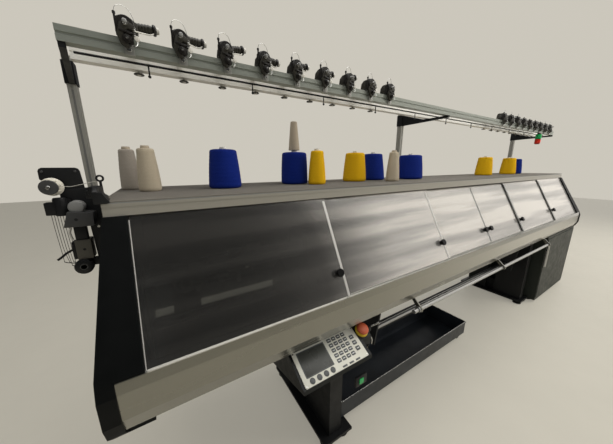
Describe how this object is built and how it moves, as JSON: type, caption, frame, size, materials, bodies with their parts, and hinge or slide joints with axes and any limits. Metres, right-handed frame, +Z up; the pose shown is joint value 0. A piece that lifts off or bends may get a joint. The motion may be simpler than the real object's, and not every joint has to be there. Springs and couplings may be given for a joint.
{
  "type": "flat knitting machine",
  "caption": "Long flat knitting machine with sliding clear windows, yarn shelf, overhead creel rails, carriage over two needle beds, takedown rollers, fabric tray and control cabinet.",
  "frame": {"origin": "centre of the outline, on the floor under the feet", "axes": "+X along the machine to the operator's right, the operator stands at -Y and looks towards +Y, +Z up"},
  "size_m": [4.626, 0.8824, 1.919],
  "materials": {
    "alu_profile": "anodised",
    "beam_silver": "satin",
    "bed_steel": "brushed",
    "belt_rubber": "matt",
    "black_paint": "satin",
    "cabinet_grey": "satin",
    "cap_plastic": "fine texture",
    "carriage_grey": "satin",
    "chrome_bar": "polished",
    "clear_acrylic": "clear",
    "console_black": "satin",
    "cover_grey": "satin",
    "creel_front": "satin",
    "creel_white": "satin",
    "girder_paint": "satin",
    "key_grey": "satin",
    "knob_black": "gloss",
    "lamp_lens": "clear lens",
    "mat_rubber": "ribbed",
    "motor_black": "satin",
    "post_alu": "anodised",
    "rail_steel": "ground",
    "roller_rubber": "matt",
    "screen_dark": "gloss",
    "shelf_sheet": "satin",
    "stop_red": "gloss",
    "stop_yellow": "gloss",
    "tray_dark": "satin",
    "unit_black": "satin",
    "wheel_grey": "satin",
    "yarn_blue": "wound yarn",
    "yarn_pale": "wound yarn",
    "yarn_yellow": "wound yarn"
  },
  "bodies": {
    "machine_frame": {"pedestals": "black_paint", "levelling_feet": "black_paint", "bed_girders": "girder_paint", "frame_plates": "girder_paint", "roller_plates": "girder_paint", "pulley_brackets": "girder_paint", "front_beam": "beam_silver", "bar_hangers": "beam_silver", "end_caps": "cap_plastic", "shelf_deck": "shelf_sheet", "shelf_mat": "mat_rubber", "shelf_rail": "alu_profile", "door_track": "alu_profile", "rear_cover": "cover_grey", "control_cabinet": "cabinet_grey", "fabric_tray": "tray_dark", "needle_beds": "bed_steel", "carriage_rails": "rail_steel", "drive_belt": "belt_rubber", "drive_motor": "motor_black", "yarn_rails": "rail_steel", "console_housing": "console_black", "key_plate": "key_grey", "display_screen": "screen_dark", "stop_base": "stop_yellow", "creel_posts": "post_alu", "creel_arms": "black_paint", "creel_rail_front": "creel_front", "creel_rail_rear": "creel_white", "creel_rod": "black_paint", "tension_units": "unit_black", "signal_lamp": "lamp_lens", "side_feeder": "motor_black", "blue_cones": "yarn_blue", "yellow_cones": "yarn_yellow", "pale_cones": "yarn_pale"},
    "window_a_left": {"door_a_left": "clear_acrylic", "knob_a_left": "knob_black"},
    "window_b_left": {"door_b_left": "clear_acrylic", "knob_b_left": "knob_black"},
    "window_c_left": {"door_c_left": "clear_acrylic", "knob_c_left": "knob_black"},
    "window_a_right": {"door_a_right": "clear_acrylic", "knob_a_right": "knob_black"},
    "window_b_right": {"door_b_right": "clear_acrylic", "knob_b_right": "knob_black"},
    "window_c_right": {"door_c_right": "clear_acrylic", "knob_c_right": "knob_black"},
    "carriage_body": {"carriage": "carriage_grey"},
    "pulley_left_body": {"pulley_left": "alu_profile"},
    "pulley_right_body": {"pulley_right": "alu_profile"},
    "yarn_feeder_1_body": {"yarn_feeder_1": "rail_steel"},
    "yarn_feeder_2_body": {"yarn_feeder_2": "rail_steel"},
    "yarn_feeder_3_body": {"yarn_feeder_3": "rail_steel"},
    "yarn_feeder_4_body": {"yarn_feeder_4": "rail_steel"},
    "takedown_roller_body": {"takedown_roller": "roller_rubber"},
    "pressure_roller_body": {"pressure_roller": "chrome_bar"},
    "start_bar_body": {"start_bar": "chrome_bar"},
    "stop_button_body": {"stop_button": "stop_red"},
    "feed_wheel_body": {"feed_wheel": "wheel_grey"}
  },
  "joints": [
    {"name": "window_a_left_slide", "type": "slide", "parent": "machine_frame", "child": "window_a_left", "axis": [1, 0, 0], "range_m": [0, 0.7]},
    {"name": "window_b_left_slide", "type": "slide", "parent": "machine_frame", "child": "window_b_left", "axis": [1, 0, 0], "range_m": [-0.695, 0]},
    {"name": "window_c_left_slide", "type": "slide", "parent": "machine_frame", "child": "window_c_left", "axis": [1, 0, 0], "range_m": [-0.45, 0]},
    {"name": "window_a_right_slide", "type": "slide", "parent": "machine_frame", "child": "window_a_right", "axis": [1, 0, 0], "range_m": [-0.7, 0]},
    {"name": "window_b_right_slide", "type": "slide", "parent": "machine_frame", "child": "window_b_right", "axis": [1, 0, 0], "range_m": [0, 0.695]},
    {"name": "window_c_right_slide", "type": "slide", "parent": "machine_frame", "child": "window_c_right", "axis": [1, 0, 0], "range_m": [0, 0.45]},
    {"name": "carriage_travel", "type": "slide", "parent": "machine_frame", "child": "carriage_body", "axis": [1, 0, 0], "range_m": [-0.48, 3.06]},
    {"name": "pulley_left_spin", "type": "hinge", "parent": "machine_frame", "child": "pulley_left_body", "pos_m": [-1.9355, 0.10919, 0.9], "axis": [0, 1, 0], "continuous": true},
    {"name": "pulley_right_spin", "type": "hinge", "parent": "machine_frame", "child": "pulley_right_body", "pos_m": [1.9845, 0.10919, 0.9], "axis": [0, 1, 0], "continuous": true},
    {"name": "feeder_1_travel", "type": "slide", "parent": "machine_frame", "child": "yarn_feeder_1_body", "axis": [1, 0, 0], "range_m": [-0.124, 3.985]},
    {"name": "feeder_2_travel", "type": "slide", "parent": "machine_frame", "child": "yarn_feeder_2_body", "axis": [1, 0, 0], "range_m": [-0.204, 3.905]},
    {"name": "feeder_3_travel", "type": "slide", "parent": "machine_frame", "child": "yarn_feeder_3_body", "axis": [1, 0, 0], "range_m": [-0.284, 3.825]},
    {"name": "feeder_4_travel", "type": "slide", "parent": "machine_frame", "child": "yarn_feeder_4_body", "axis": [1, 0, 0], "range_m": [-0.364, 3.744]},
    {"name": "takedown_spin", "type": "hinge", "parent": "machine_frame", "child": "takedown_roller_body", "pos_m": [-0.0005, -0.12681, 0.395], "axis": [1, 0, 0], "continuous": true},
    {"name": "pressure_spin", "type": "hinge", "parent": "machine_frame", "child": "pressure_roller_body", "pos_m": [-0.0005, -0.1553, 0.42251], "axis": [1, 0, 0], "continuous": true},
    {"name": "start_bar_turn", "type": "hinge", "parent": "machine_frame", "child": "start_bar_body", "pos_m": [0.0245, -0.39781, 0.669], "axis": [1, 0, 0], "range_deg": [-15, 15]},
    {"name": "stop_press", "type": "slide", "parent": "machine_frame", "child": "stop_button_body", "axis": [0, -0.4695, 0.8829], "range_m": [-0.005, 0], "stiffness_N_per_m": 900},
    {"name": "feed_wheel_spin", "type": "hinge", "parent": "machine_frame", "child": "feed_wheel_body", "pos_m": [-2.2805, 0.01619, 1.36], "axis": [0, 1, 0], "continuous": true}
  ],
  "couplings": [
    {"joint": "pulley_left_spin", "follows": "carriage_travel", "rad_per_m": 25},
    {"joint": "pulley_right_spin", "follows": "carriage_travel", "rad_per_m": 25},
    {"joint": "pressure_spin", "follows": "takedown_spin", "ratio": -1.7857}
  ]
}
